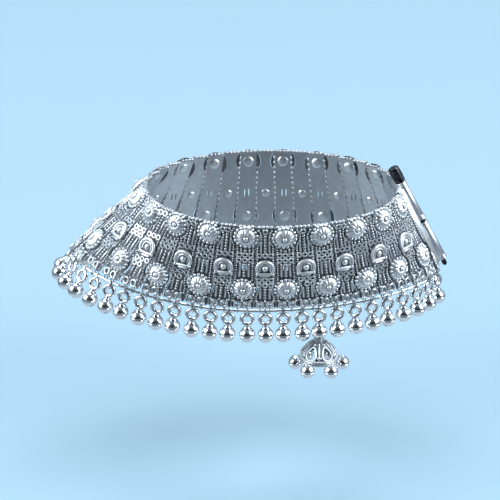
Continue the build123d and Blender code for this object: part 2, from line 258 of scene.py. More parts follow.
# Camera and room, in metres and degrees. The lens is in millimetres
CAMERA_AZIMUTH = 0.5
CAMERA_ELEVATION = 22.5
CAMERA_DISTANCE = 0.65
CAMERA_LENS = 140.0
FLOOR_DROP = 0.038
FLOOR_REACH = 4.0
# Brightness of the mirrored room, by direction from the drop's side to the back
MIRRORED_ROOM = {"From Min": -0.95, "From Max": 0.4, "To Min": 0.02, "To Max": 0.56}
SOFTBOXES = (
    # name, spot, size, power, colour
    ("softbox_left", (-1.6, -0.45, 0.9), (1.3, 1.5), 40.0, (0.88, 0.95, 1.0)),
    ("softbox_right", (1.5, -0.45, 0.95), (1.2, 1.4), 42.0, (0.87, 0.94, 1.0)),
    ("softbox_top", (0.0, 0.6, 1.8), (1.4, 0.8), 20.0, (0.9, 0.96, 1.0)),
)


# ---------------------------------------------------------------- the band's lines


def upper_edge(angle):
    """Point of the band's upper edge at an angle round the leg, 0 at the clasp."""
    return np.array([
        UPPER_HALF_LENGTH * math.cos(angle),
        UPPER_HALF_WIDTH * math.sin(angle),
        UPPER_LEVEL,
    ])


def lower_edge(angle):
    """Point of the band's lower edge, which rises over the instep at the front."""
    along = math.cos(angle)
    across = math.sin(angle)
    fall_end = FALL_BACK if along > 0 else FALL_FRONT
    fall = FALL_SIDE * across**2 + fall_end * along**2
    return np.array([
        LOWER_SHIFT + LOWER_HALF_LENGTH * along,
        LOWER_HALF_WIDTH * across,
        UPPER_LEVEL - fall,
    ])


TURN_ANGLES = -2 * math.pi * np.arange(TURN_STEPS + 1) / TURN_STEPS


def running_lengths(edge):
    """Length of an edge from the clasp to each small step round by the near side."""
    points = np.array([edge(angle) for angle in TURN_ANGLES])
    steps = np.linalg.norm(np.diff(points, axis=0), axis=1)
    return np.concatenate([[0.0], np.cumsum(steps)])


UPPER_LENGTHS = running_lengths(upper_edge)
LOWER_LENGTHS = running_lengths(lower_edge)
END_SHARE = CLASP_WIDTH / 2 / UPPER_LENGTHS[-1]
BELL_END_SHARE = BELL_START / LOWER_LENGTHS[-1]


def band_points(share):
    """Upper and lower points of the band at a share of its length from the clasp."""
    lower_share = share + LOWER_BIAS * math.sin(2 * math.pi * share) / (2 * math.pi)
    upper_angle = np.interp(share * UPPER_LENGTHS[-1], UPPER_LENGTHS, TURN_ANGLES)
    lower_angle = np.interp(lower_share * LOWER_LENGTHS[-1], LOWER_LENGTHS, TURN_ANGLES)
    return upper_edge(upper_angle), lower_edge(lower_angle)


def band_share(place):
    """Share of the band's length at a place counted in pairs of links, past the end bar."""
    return END_SHARE + (1 - 2 * END_SHARE) * (place - 0.25) / (LINK_PAIRS - 0.5)


def unit(vector):
    """The vector at length 1."""
    return vector / np.linalg.norm(vector)


class Place:
    """A flat coordinate frame: origin, and x, y and z directions."""

    def __init__(self, origin, x, z):
        self.origin = np.array(origin, float)
        self.z = unit(np.array(z, float))
        x = np.array(x, float)
        self.x = unit(x - self.z * (x @ self.z))
        self.y = np.cross(self.z, self.x)

    def out(self, points):
        """Points of this frame in the anklet's frame."""
        points = np.atleast_2d(points)
        return self.origin + points[:, :1] * self.x + points[:, 1:2] * self.y + points[:, 2:3] * self.z

    def into(self, point):
        """A point of the anklet's frame in this frame."""
        away = np.array(point) - self.origin
        return np.array([away @ self.x, away @ self.y, away @ self.z])


def strip_frame(first_share, last_share):
    """Frame of a flat strip of the band, and its four corners in it, top left first."""
    before = band_points(first_share)
    after = band_points(last_share)
    corners = []
    for share, pair in ((TOP_SHARE, (after, before)), (FOOT_SHARE, (before, after))):
        for upper_point, lower_point in pair:
            corners.append(upper_point + (lower_point - upper_point) * share)
    left_top, right_top, right_foot, left_foot = corners
    top = (left_top + right_top) * 0.5
    foot = (left_foot + right_foot) * 0.5
    across = unit(right_top - left_top) + unit(right_foot - left_foot)
    place = Place(top, across, np.cross(across, top - foot))
    flat = []
    for corner, side in zip(corners, (1, -1, -1, 1)):
        local = place.into(corner)
        flat.append((local[0] + side * LINK_GAP / 2, local[1]))
    return place, flat


class Strip:
    """A link's flat outline: its frame, its four corners and how a share of its height maps to it."""

    def __init__(self, first_share, last_share):
        self.place, self.flat = strip_frame(first_share, last_share)
        self.foot = (self.flat[2][1] + self.flat[3][1]) / 2

    def side(self, own, side):
        """x of the left (0) or right (1) edge at a share of the link's height."""
        top_x = self.flat[side][0]
        foot_x = self.flat[3 - side][0]
        return top_x + (foot_x - top_x) * own

    def across(self, own, way):
        """x at a share of the way from the left edge to the right one."""
        left = self.side(own, 0)
        return left + (self.side(own, 1) - left) * way

    def own_share(self, band):
        """Share of the link's height at a share of the band's width."""
        return (band - TOP_SHARE) / (FOOT_SHARE - TOP_SHARE)

    def middle(self, band):
        """Point of the link's middle line at a share of the band's width."""
        own = self.own_share(band)
        return np.array([self.across(own, 0.5), self.foot * own, 0.0])

    def narrow(self, side, amount):
        """Moves the left (0) or right (1) edge inwards."""
        for corner in (side, 3 - side):
            x, y = self.flat[corner]
            self.flat[corner] = (x + amount * (1 if side == 0 else -1), y)


def link_strip(place):
    """The link at a place, half a pair wide."""
    return Strip(band_share(place - 0.25), band_share(place + 0.25))


# ---------------------------------------------------------------- mesh building


class Shape:
    """A growing mesh, to which parts are added."""

    def __init__(self):
        self.points = []
        self.relief = []
        self.faces = []
        self.count = 0

    def add(self, part, place=None):
        """Adds a part, put in a frame."""
        points, faces, relief = part
        if place is not None:
            points = place.out(points)
        self.points.append(points)
        self.relief.append(relief)
        self.faces.extend(tuple(i + self.count for i in face) for face in faces)
        self.count += len(points)

    def part(self):
        """All of it as one part."""
        return np.concatenate(self.points), self.faces, np.concatenate(self.relief)


def moved(part, shift):
    """The part moved by a shift."""
    points, faces, relief = part
    return points + np.array(shift, float), faces, relief


def turned(part, degrees, axis="z"):
    """The part turned round an axis through its origin."""
    points, faces, relief = part
    turn = np.array(Matrix.Rotation(math.radians(degrees), 3, axis.upper()))
    return points @ turn.T, faces, relief


def brighter(part, factor):
    """The part with its relief raised, or lowered by a factor under 1; raising it paints a brighter
    highlight along with more polish.
    """
    points, faces, relief = part
    return points, faces, relief * factor


def round_steps(count):
    """Cosine and sine of even steps round a whole turn."""
    angles = [2 * math.pi * k / count for k in range(count)]
    return [(math.cos(angle), math.sin(angle)) for angle in angles]


def lathe(profile, segments, flute=None):
    """Turned solid round +Z of (radius, height, relief) rows, foot first, with an optional flute."""
    points = []
    rows = []
    values = []
    for radius, height, value in profile:
        corners = segments if radius > 0 else 1
        rows.append(range(len(points), len(points) + corners))
        points.extend((radius * x, radius * y, height) for x, y in round_steps(corners))
        values.extend([value] * corners)
    faces = []
    for low, high in zip(rows, rows[1:]):
        for k in range(segments):
            after = (k + 1) % segments
            if len(low) == 1:
                faces.append((low[0], high[after], high[k]))
            elif len(high) == 1:
                faces.append((low[k], low[after], high[0]))
            else:
                faces.append((low[k], low[after], high[after], high[k]))
    if len(rows[0]) > 1:
        faces.append(tuple(reversed(rows[0])))
    if len(rows[-1]) > 1:
        faces.append(tuple(rows[-1]))
    points = np.array(points)
    values = np.array(values)
    if flute is not None:
        points, values = flute(points, values)
    return points, faces, values


def pipe(inner, outer, length, segments, bevel=0.15):
    """Open pipe along +Z from level 0, with rounded ends and its bore painted dark as shade."""
    loop = (
        (outer - bevel, 0.0), (outer, bevel), (outer, length - bevel), (outer - bevel, length),
        (inner + bevel, length), (inner, length - bevel), (inner, bevel), (inner + bevel, 0.0),
    )
    points = []
    faces = []
    values = []
    for j, (radius, height) in enumerate(loop):
        points.extend(circle(radius, segments, height=height))
        # The bore is painted dark as shade, the outside bright
        values.extend([0.95 if radius > (inner + outer) / 2 else 0.2] * segments)
        here = j * segments
        there = (j + 1) % len(loop) * segments
        for k in range(segments):
            after = (k + 1) % segments
            faces.append((here + k, here + after, there + after, there + k))
    return np.array(points), faces, np.array(values)


def ball(radius, segments=12, rings=8, relief=1.0):
    """Round ball with its poles on the Z axis."""
    profile = [(0.0, -radius, relief)]
    for k in range(1, rings):
        angle = -math.pi / 2 + math.pi * k / rings
        profile.append((radius * math.cos(angle), radius * math.sin(angle), relief))
    profile.append((0.0, radius, relief))
    return lathe(profile, segments)


def pad(radius, height, segments=12, rings=4, edge_relief=0.25):
    """Low round dome whose rim lies at level 0, darker at its foot, painted shade with tarnish, and
    brighter on its top, painted highlight with polish.
    """
    profile = [(radius, -0.15, edge_relief)]
    for k in range(rings):
        angle = math.pi / 2 * k / rings
        # Painted shade at the foot, painted highlight towards the top
        relief = edge_relief + (1 - edge_relief) * min(1.0, 1.6 * math.sin(angle))
        profile.append((radius * math.cos(angle), height * math.sin(angle), relief))
    profile.append((0.0, height, 1.0))
    return lathe(profile, segments)


def tube(path, radius, segments=8, closed=False, normal=(0, 0, 1), flat=1.0, relief=None):
    """Wire of one or varying radius along a path, stretched along the normal if asked.

    The relief is dark at the wire's foot and bright at its top along the normal, unless given: painted
    shade below with tarnish, painted highlight on top with polish.
    """
    path = np.array(path, float)
    count = len(path)
    radii = np.broadcast_to(np.array(radius, float), (count,))
    if closed:
        tangents = np.roll(path, -1, axis=0) - np.roll(path, 1, axis=0)
    else:
        tangents = np.gradient(path, axis=0)
    tangents /= np.linalg.norm(tangents, axis=1)[:, None]
    sides = np.cross(tangents, np.array(normal, float))
    sides /= np.linalg.norm(sides, axis=1)[:, None]
    ups = np.cross(sides, tangents)
    points = []
    values = []
    for k in range(count):
        for j in range(segments):
            angle = 2 * math.pi * j / segments
            offset = sides[k] * math.cos(angle) + ups[k] * math.sin(angle) * flat
            points.append(path[k] + offset * radii[k])
            # Painted shade on the wire's underside, painted highlight on its top
            values.append(0.35 + 0.65 * min(1.0, max(0.0, 0.5 + 0.8 * math.sin(angle))))
    faces = []
    for k in range(count if closed else count - 1):
        here = k * segments
        there = (k + 1) % count * segments
        for j in range(segments):
            after = (j + 1) % segments
            faces.append((here + j, there + j, there + after, here + after))
    if not closed:
        faces.append(tuple(range(segments)))
        faces.append(tuple(reversed(range(len(points) - segments, len(points)))))
    if relief is not None:
        values = np.broadcast_to(np.array(relief, float), (len(points),))
    return np.array(points), faces, np.array(values)


def circle(radius, count, start=0.0, sweep=360.0, height=0.0):
    """Points round a circle, or an arc of it, in the XY plane."""
    spans = count if sweep >= 360 else count - 1
    angles = [math.radians(start + sweep * k / spans) for k in range(count)]
    return np.array([(radius * math.cos(a), radius * math.sin(a), height) for a in angles])


def ring(radius, wire, count=20, segments=8, height=0.0, relief=None):
    """Closed round ring in the XY plane."""
    return tube(circle(radius, count, height=height), wire, segments, closed=True, relief=relief)


def rod(start, end, radius, segments=8, flat=1.0, relief=None):
    """Straight bar between two points with rounded ends."""
    start = np.array(start, float)
    end = np.array(end, float)
    length = np.linalg.norm(end - start)
    nose = (end - start) / length * min(radius, length / 2.01)
    stations = (0.02, 0.3, 0.75, 1.0)
    insets = [nose * (1 - math.sqrt(1 - s * s)) for s in stations]
    insets[0] = 0.0
    path = [start + inset for inset in insets]
    path += [end - inset for inset in reversed(insets)]
    radii = [radius * s for s in stations + stations[::-1]]
    return tube(path, radii, segments, flat=flat, relief=relief)


def stepped_wire(start, end, steps, segments):
    """Straight wire of equal steps, each with rows of place along it, radius and relief."""
    path = []
    radii = []
    values = []
    for k, rows in enumerate(steps):
        for along, radius, relief in rows:
            path.append(start + (end - start) * (k + along) / len(steps))
            radii.append(radius)
            values.append(relief)
    return tube(path, radii, segments, relief=np.repeat(values, segments))


def beaded_rod(start, end, radius, pitch, segments=8):
    """Straight wire of round beads, with painted shade between them."""
    start = np.array(start, float)
    end = np.array(end, float)
    count = max(1, round(np.linalg.norm(end - start) / pitch))
    # The bead's ends carry low relief: painted shade between the beads
    bead = [(along, radius * share, relief) for along, share, relief in BEAD]
    return stepped_wire(start, end, [bead] * count, segments)


def slab(outline, holes, thickness, relief=0.3, back_relief=0.8):
    """Flat plate of an anticlockwise outline with anticlockwise holes, up from level 0."""
    loops = [[Vector((*point, 0.0)) for point in loop] for loop in (outline, *holes)]
    flat = [(point.x, point.y) for loop in loops for point in loop]
    count = len(flat)
    points = [(x, y, thickness) for x, y in flat] + [(x, y, 0.0) for x, y in flat]
    faces = []
    for a, b, c in tessellate_polygon(loops):
        ax, ay = flat[a]
        bx, by = flat[b]
        cx, cy = flat[c]
        if (bx - ax) * (cy - ay) - (by - ay) * (cx - ax) < 0:
            b, c = c, b
        faces.append((a, b, c))
        faces.append((a + count, c + count, b + count))
    start = 0
    for number, loop in enumerate(loops):
        area = sum(loop[k - 1].x * point.y - point.x * loop[k - 1].y for k, point in enumerate(loop))
        ahead = (area > 0) == (number == 0)
        for k in range(len(loop)):
            a = start + k
            b = start + (k + 1) % len(loop)
            if not ahead:
                a, b = b, a
            faces.append((a, a + count, b + count, b))
        start += len(loop)
    # The face is dark as a recess between the ornaments, tarnish and painted shade; the back is left paler
    return np.array(points), faces, np.array([relief] * count + [back_relief] * count)


def make_object(name, part, material, body, nodes, smooth_angle=50):
    """Mesh object of a part, in metres, riding on a body and standing for its CAD nodes."""
    points, faces, relief = part
    mesh = bpy.data.meshes.new(name)
    mesh.from_pydata((points * MM).tolist(), [], faces)
    attribute = mesh.attributes.new("relief", "FLOAT", "POINT")
    attribute.data.foreach_set("value", np.asarray(relief, np.float32))
    mesh.materials.append(material)
    mesh.shade_smooth()
    mesh.set_sharp_from_angle(angle=math.radians(smooth_angle))
    piece = bpy.data.objects.new(name, mesh)
    bpy.context.scene.collection.objects.link(piece)
    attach(piece, body)
    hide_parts(*nodes)


# ---------------------------------------------------------------- materials


def add_node(tree, kind, inputs, **settings):
    """Outputs of a new node, whose inputs take a value or the output of another node."""
    node = tree.nodes.new("ShaderNode" + kind)
    for name, value in settings.items():
        setattr(node, name, value)
    for name, value in inputs.items():
        if isinstance(value, bpy.types.NodeSocket):
            tree.links.new(value, node.inputs[name])
        else:
            node.inputs[name].default_value = value
    return node.outputs


def add_ramp(tree, factor, stops):
    """Colour of a ramp with the given (place, colour) stops, at a factor."""
    node = tree.nodes.new("ShaderNodeValToRGB")
    elements = node.color_ramp.elements
    while len(elements) < len(stops):
        elements.new(0.5)
    for element, (place, colour) in zip(elements, stops):
        element.position = place
        element.color = (*colour, 1.0)
    tree.links.new(factor, node.inputs["Fac"])
    return node.outputs["Color"]


def add_noise(tree, place, scale, detail):
    """Cloudy noise at a place."""
    return add_node(tree, "TexNoise", {"Scale": scale, "Detail": detail, "Vector": place})["Fac"]


def add_bump(tree, height, strength, distance):
    """Normal of a finely uneven surface."""
    inputs = {"Strength": strength, "Distance": distance, "Height": height}
    return add_node(tree, "Bump", inputs)["Normal"]


def cloudy_roughness(tree, cloud, low, high):
    """Roughness between two values, by a cloud."""
    return add_node(tree, "MapRange", {"To Min": low, "To Max": high, "Value": cloud})["Result"]


def object_place(tree):
    """Place in the object's own space, in metres."""
    return add_node(tree, "TexCoord", {})["Object"]


def relief_value(tree):
    """The relief that is stored with each point."""
    return add_node(tree, "Attribute", {}, attribute_name="relief")["Fac"]


def new_material(name):
    """Material without nodes, and its empty node tree."""
    material = bpy.data.materials.new(name)
    material.use_nodes = True
    material.node_tree.nodes.clear()
    return material, material.node_tree


def add_shader(tree, inputs):
    """Shader with its inputs, on the material's surface."""
    shader = add_node(tree, "BsdfPrincipled", inputs)
    add_node(tree, "OutputMaterial", {"Surface": shader["BSDF"]})


def silver_material():
    """Polished white metal: tarnish and painted shade darken its recesses, polish and painted highlight
    brighten its tops, with cloudy worn patches and fine grain.
    """
    material, tree = new_material("nickel_silver")
    place = object_place(tree)
    cloud = add_noise(tree, place, 420.0, 3.0)
    mix = {0: cloud, 1: 0.35, 2: relief_value(tree)}
    mixed = add_node(tree, "Math", mix, operation="MULTIPLY_ADD")[0]
    # Relief brings painted shade in recesses and painted highlight on tops, mixed here with the cloudy worn
    # patches
    wear_and_shade = add_node(tree, "Math", {0: mixed, 1: 0.5}, operation="MULTIPLY")[0]
    greys = [(stop, (value, value, value)) for stop, value in SILVER_ROUGHNESS]
    stretch = {0: place, 1: (1.0, 1.0, 0.15)}
    stretched = add_node(tree, "VectorMath", stretch, operation="MULTIPLY")["Vector"]
    add_shader(tree, {
        "Metallic": 1.0,
        "Base Color": add_ramp(tree, wear_and_shade, SILVER_COLOURS),
        "Roughness": add_ramp(tree, wear_and_shade, greys),
        "Normal": add_bump(tree, add_noise(tree, stretched, 1800.0, 2.0), 0.12, 0.0001),
    })
    return material


def bell_material():
    """Mirror-bright white metal of the round bells, barely clouded; slits, bores and feet are painted dark
    as shade.
    """
    material, tree = new_material("bell_silver")
    cloud = add_noise(tree, object_place(tree), 350.0, 4.0)
    add_shader(tree, {
        "Metallic": 1.0,
        # Low relief paints shade in slits, bores and at feet
        "Base Color": add_ramp(tree, relief_value(tree), BELL_COLOURS),
        "Roughness": cloudy_roughness(tree, cloud, 0.06, 0.2),
        "Normal": add_bump(tree, cloud, 0.1, 0.0002),
    })
    return material


def dark_steel_material():
    """Dark oxidised steel of the clasp's pin, worn brighter in places."""
    material, tree = new_material("dark_steel")
    cloud = add_noise(tree, object_place(tree), 500.0, 4.0)
    add_shader(tree, {
        "Metallic": 1.0,
        "Base Color": add_ramp(tree, cloud, STEEL_COLOURS),
        "Roughness": cloudy_roughness(tree, cloud, 0.22, 0.4),
    })
    return material


def floor_material():
    """Plain pale paper, painted paler far from the anklet to make up for the light falling off, and seen
    dim in the metal's mirror with a painted pool of light under the anklet.
    """
    material, tree = new_material("pale_floor")
    squeeze = {0: object_place(tree), 1: (0.6, 1.0, 0.0)}
    squeezed = add_node(tree, "VectorMath", squeeze, operation="MULTIPLY")["Vector"]
    reach = add_node(tree, "VectorMath", {0: squeezed}, operation="LENGTH")["Value"]
    distance = add_node(tree, "MapRange", {"From Min": 0.6, "From Max": 2.4, "Value": reach})
    # The camera sees the paler-far painted light; the metal's reflections see the painted pool of light
    colours = {
        "Factor": add_node(tree, "LightPath", {})["Is Glossy Ray"],
        "A": add_ramp(tree, distance["Result"], FLOOR_COLOURS),
        "B": add_ramp(tree, reach, MIRRORED_FLOOR_COLOURS),
    }
    colour = add_node(tree, "Mix", colours, data_type="RGBA")["Result"]
    add_shader(tree, {"Roughness": 0.9, "Base Color": colour})
    return material


SILVER = silver_material()
BELL_SILVER = bell_material()
DARK_STEEL = dark_steel_material()


# ---------------------------------------------------------------- ornaments


def fluted(petals, depth, inner, outer):
    """Flute for a lathe: radial valleys between petals, with painted shade at their bottom."""
    def apply(points, values):
        radius = np.hypot(points[:, 0], points[:, 1])
        angle = np.arctan2(points[:, 1], points[:, 0])
        wave = 0.5 - 0.5 * np.cos(petals * angle)
        band = np.clip((radius - inner) / (outer - inner), 0, 1)
        valley = (1 - wave) ** 2 * np.sin(np.pi * np.clip(band * 0.85 + 0.1, 0, 1))
        points = points.copy()
        points[:, 2] -= depth * valley
        # Painted shade deepest at the bottom of each valley
        return points, values * (1 - 0.55 * valley)
    return apply


def large_rosette():
    """Large domed rosette: granules round a fluted dome, with a bead at its centre."""
    shape = Shape()
    shape.add(lathe(ROSETTE_DISC, 36))
    granule = moved(brighter(pad(0.64, 0.85, 10, 4, 0.2), 1.2), (GRANULE_CIRCLE, 0, 0.6))
    for k in range(GRANULES):
        shape.add(turned(granule, 360 * (k + 0.5) / GRANULES))
    shape.add(lathe(ROSETTE_DOME, 84, fluted(PETALS, 0.2, 1.2, 3.15)))
    shape.add(moved(brighter(pad(0.85, 0.6, 16, 5, 0.45), 1.4), (0, 0, ROSETTE_BEAD_LEVEL)))
    return shape.part()


def shell_rosette():
    """Small rosette: an arched rim on a flat base bar, an inner arch and a domed middle."""
    shape = Shape()
    shape.add(lathe(SHELL_DISC, 28))
    shape.add(brighter(tube(circle(2.7, 25, -38, 256, 1.35), 0.55, 10, flat=1.1), 1.4))
    shape.add(brighter(tube(circle(1.72, 19, -25, 230, 1.4), 0.34, 8, flat=1.1), 1.2))
    shape.add(brighter(rod((-2.5, -1.85, 1.45), (2.5, -1.85, 1.45), 0.52), 1.4))
    shape.add(brighter(rod((-1.7, -2.75, 1.2), (1.7, -2.75, 1.2), 0.4), 1.2))
    shape.add(moved(brighter(pad(1.1, 1.1, 18, 5), 1.4), (0, 0.1, 1.15)))
    for spot in circle(2.22, SHELL_DOTS, -20, 220, 1.45):
        shape.add(moved(pad(0.24, 0.3, 7, 2), spot))
    for side in (-1, 1):
        shape.add(moved(ball(0.55, 10, 6), (side * 2.55, -1.9, 1.55)))
    return shape.part()


LARGE_ROSETTE = large_rosette()
SHELL = shell_rosette()

# The rosettes of each kind of link: part, share of the band's width, radius
LARGE_ROSETTES = (
    (LARGE_ROSETTE, UPPER_ROSETTE, ROSETTE_RADIUS),
    (LARGE_ROSETTE, LOWER_ROSETTE, ROSETTE_RADIUS),
)
SMALL_ROSETTES = ((SHELL, SHELL_ROSETTE, SHELL_RADIUS),)


# ---------------------------------------------------------------- links


def bite(top, foot, centre, radius, middle):
    """Arc that a round neighbour cuts into a side, with its place, or None if it doesn't reach."""
    along = unit(foot - top)
    place = (centre - top) @ along
    away = np.linalg.norm(centre - top - along * place)
    if away >= radius:
        return None
    half = math.sqrt(radius**2 - away**2)
    ends = []
    for shift in (-half, half):
        x, y = top + along * (place + shift) - centre
        angle = math.atan2(y, x)
        ends.append(angle - 2 * math.pi * round((angle - middle) / (2 * math.pi)))
    arc = []
    for k in range(BITE_STEPS):
        angle = ends[0] + (ends[1] - ends[0]) * k / (BITE_STEPS - 1)
        arc.append(centre + radius * np.array([math.cos(angle), math.sin(angle)]))
    return place, arc


def side_lines(strip, circles):
    """Left and right side of a link, downwards, with round bites where its neighbours' rosettes lie."""
    lines = []
    for side in (0, 1):
        top = np.array([strip.side(0, side), 0.0])
        foot = np.array([strip.side(1, side), strip.foot])
        bites = []
        for centre, radius in circles:
            if (centre[0] > 0) == (side == 1):
                bites.append(bite(top, foot, centre, radius, side * math.pi))
        line = [top]
        for _, arc in sorted(filter(None, bites), key=lambda found: found[0]):
            line.extend(arc)
        lines.append([*line, foot])
    return lines


def link_outline(strip, circles):
    """Outline of a link, anticlockwise."""
    left, right = side_lines(strip, circles)
    return [tuple(point) for point in left + right[::-1]]


def neighbour_circles(here, places, rosettes):
    """Room that the rosettes of neighbouring links take, as (centre, radius) in a link's frame."""
    circles = []
    for place in places:
        beside = link_strip(place)
        for _, share, radius in rosettes:
            centre = here.into(beside.place.out(beside.middle(share))[0])
            circles.append((centre[:2], radius + ROSETTE_CLEARANCE))
    return circles


def evenly(line, pitch):
    """Points along a polyline at an even pitch."""
    line = np.array(line)
    lengths = np.concatenate([[0.0], np.cumsum(np.linalg.norm(np.diff(line, axis=0), axis=1))])
    count = round(lengths[-1] / pitch)
    places = (np.arange(count) + 0.5) * lengths[-1] / count
    return np.column_stack([np.interp(places, lengths, line[:, axis]) for axis in (0, 1)])


def clear(point, circles, margin):
    """Whether a point lies outside every circle."""
    x, y = point[:2]
    return all(math.hypot(x - centre[0], y - centre[1]) > radius + margin for centre, radius in circles)


def clear_spans(start, end, circles, margin):
    """Stretches of a straight run that lie outside every circle, as pairs of points."""
    start = np.array(start, float)
    end = np.array(end, float)
    runs = [[]]
    for k in range(SPAN_STEPS + 1):
        point = start + (end - start) * k / SPAN_STEPS
        if clear(point, circles, margin):
            runs[-1].append(point)
        else:
            runs.append([])
    spans = [(run[0], run[-1]) for run in runs if run]
    return [(first, last) for first, last in spans if np.linalg.norm(last - first) > SHORTEST_SPAN]


def oval(centre, half_width, half_height, count):
    """Points of an upright oval hole."""
    return [
        (centre[0] + half_width * x, centre[1] + half_height * y) for x, y in round_steps(count)
    ]


def eye_centres(strip):
    """Centres of the two ringed holes at a link's foot."""
    middle = strip.across(1, 0.5)
    return [(middle + side * EYE_STEP / 2, strip.foot + EYE_LIFT) for side in (-1, 1)]


def link_holes(strip, slotted):
    """The two ringed holes at a link's foot, and two slots at mid height if it has them."""
    holes = [oval(centre, EYE_RADIUS, EYE_RADIUS, 12) for centre in eye_centres(strip)]
    if slotted:
        for way in SLOT_PLACES:
            centre = (strip.across(SLOT_SHARE, way), strip.foot * SLOT_SHARE)
            holes.append(oval(centre, 0.2, -strip.foot * 0.05, 10))
    return holes


def hinge(top, foot):
    """Knuckled hinge wire that closes the gap between two links."""
    top = np.array(top)
    foot = np.array(foot)
    count = 2 * round(np.linalg.norm(foot - top) / HINGE_PITCH) + 1
    return stepped_wire(top, foot, [HINGE_KNUCKLES[k % 2] for k in range(count)], 6)


def side_granules(shape, strip, around, own):
    """Granules along a link's sides, clear of its own rosettes."""
    granule = pad(0.36, 0.5, 7, 3, 0.2)
    for inwards, line in zip((1, -1), side_lines(strip, around)):
        for x, y in evenly(line, GRANULE_PITCH):
            spot = (x + inwards * GRANULE_INSET, y, PLATE)
            if strip.foot + 2.6 < y < -0.9 and clear(spot, own, 0.2):
                shape.add(moved(granule, spot), strip.place)


def lace(shape, strip, circles):
    """Ribs down a link, plain beside a beaded one, and rows of small rings across it."""
    row = LACE_ROW / -strip.foot
    edge = 0.55 * row
    upper, lower = [strip.own_share(bar) for bar in CROSS_BARS]
    stretches = (
        (1.4 * row, upper - edge),
        (upper + row + edge, lower - edge),
        (lower + row + edge, RIB_FOOT),
    )
    for way in RIB_PLACES:
        for stretch in stretches:
            ends = [(strip.across(own, way), strip.foot * own, PLATE + 0.05) for own in stretch]
            for first, last in clear_spans(*ends, circles, 0.5):
                if way == 0.5:
                    shape.add(beaded_rod(first, last, *BEADED_RIB), strip.place)
                else:
                    shape.add(rod(first, last, RIB_RADIUS, flat=1.2), strip.place)
    loop = ring(*LACE_RING, 14, 6, relief=1.0)
    for own in (0.85 * row, upper, upper + row, lower, lower + row):
        for way in LACE_COLUMNS:
            spot = (strip.across(own, way), strip.foot * own, PLATE + 0.12)
            if clear(spot, circles, 0.6):
                shape.add(moved(loop, spot), strip.place)


def top_edge(shape, strip):
    """Beaded edge wire along a link's top."""
    left = (strip.side(0, 0) + 0.1, -0.25, PLATE / 2)
    right = (strip.side(0, 1) - 0.1, -0.25, PLATE / 2)
    shape.add(rod(left, right, 0.5, 10, relief=0.5), strip.place)
    shape.add(brighter(beaded_rod(left, right, 0.66, 1.25, 10), 0.75), strip.place)


def wire_loop(x, top, foot):
    """Thin loop from a ringed hole round the border wire."""
    path = []
    for across, along in round_steps(16):
        y = (top + foot) / 2 + along * ((top - foot) / 2 + 0.62)
        path.append((x, y, PLATE * 0.5 * (along * 0.5 + 0.5) + across * 0.72))
    return tube(path, 0.22, 6, closed=True, normal=(1, 0, 0), relief=0.6)


def border(shape, strip):
    """Rings and loops of the two holes at a link's foot, and the granules beside them."""
    wire_level = strip.foot + strip.foot * (1 - FOOT_SHARE) / (FOOT_SHARE - TOP_SHARE)
    for x, y in eye_centres(strip):
        eye_ring = ring(*EYE_RING, 18, relief=0.95)
        shape.add(moved(eye_ring, (x, y, PLATE + 0.1)), strip.place)
        shape.add(wire_loop(x, y, wire_level), strip.place)
    for step in (-1, 0, 1):
        x = strip.across(1, 0.5) + step * (EYE_STEP - 0.35)
        shape.add(moved(pad(0.5, 0.6, 9, 3), (x, strip.foot + 2.75, PLATE)), strip.place)
        shape.add(moved(pad(0.38, 0.5, 8, 3), (x, strip.foot + 0.35, PLATE)), strip.place)


def link_piece(name, place, rosettes, beside_rosettes, slotted):
    """One upright link: plate, granules, lace, top edge, border, hinge and rosettes."""
    strip = link_strip(place)
    here = strip.place
    around = neighbour_circles(here, (place - 0.5, place + 0.5), beside_rosettes)
    own = [(strip.middle(share)[:2], radius - 0.25) for _, share, radius in rosettes]
    shape = Shape()
    shape.add(slab(link_outline(strip, around), link_holes(strip, slotted), PLATE), here)
    side_granules(shape, strip, around, own)
    lace(shape, strip, own + around)
    top_edge(shape, strip)
    border(shape, strip)
    hinge_top = (strip.side(0, 1) + LINK_GAP / 2, -0.3, 0.2)
    hinge_foot = (strip.side(1, 1) + LINK_GAP / 2, strip.foot + 0.3, 0.2)
    shape.add(hinge(hinge_top, hinge_foot), here)
    for rosette, share, radius in rosettes:
        spot = Place(here.out(strip.middle(share))[0], here.x, here.z)
        shape.add(rosette, spot)
        shape.add(turned(pad(radius * 0.45, 0.35, 14, 3, 0.6), 180, "x"), spot)
    make_object(name + "_detail", shape.part(), SILVER, "band", [name])


def make_links():
    """All the band's links."""
    for number in range(1, LINK_PAIRS + 1):
        name = f"rosette_link_{number:02d}"
        link_piece(name, number - 0.5, LARGE_ROSETTES, SMALL_ROSETTES, True)
    for number in range(1, LINK_PAIRS):
        link_piece(f"shell_link_{number:02d}", number, SMALL_ROSETTES, LARGE_ROSETTES, False)


# ---------------------------------------------------------------- bells


def bell_share(row, place):
    """Share of the band's length at a bell, or between bells at half places."""
    along = ((row - 1) * BELLS_IN_ROW + place - 0.5) / (BELL_ROWS * BELLS_IN_ROW)
    lower_share = BELL_END_SHARE + (1 - 2 * BELL_END_SHARE) * along
    return lower_share - LOWER_BIAS * math.sin(2 * math.pi * lower_share) / (2 * math.pi)


def wire_point(row, place):
    """Point of the border wire's middle line, whose straight runs change at half places."""
    if place % 1:
        return band_points(bell_share(row, place))[1]
    return (wire_point(row, place - 0.5) + wire_point(row, place + 0.5)) * 0.5


def wire_step(row, place):
    """The border wire's run past a bell, towards the bell counted before it."""
    return wire_point(row, place - 0.5) - wire_point(row, place + 0.5)


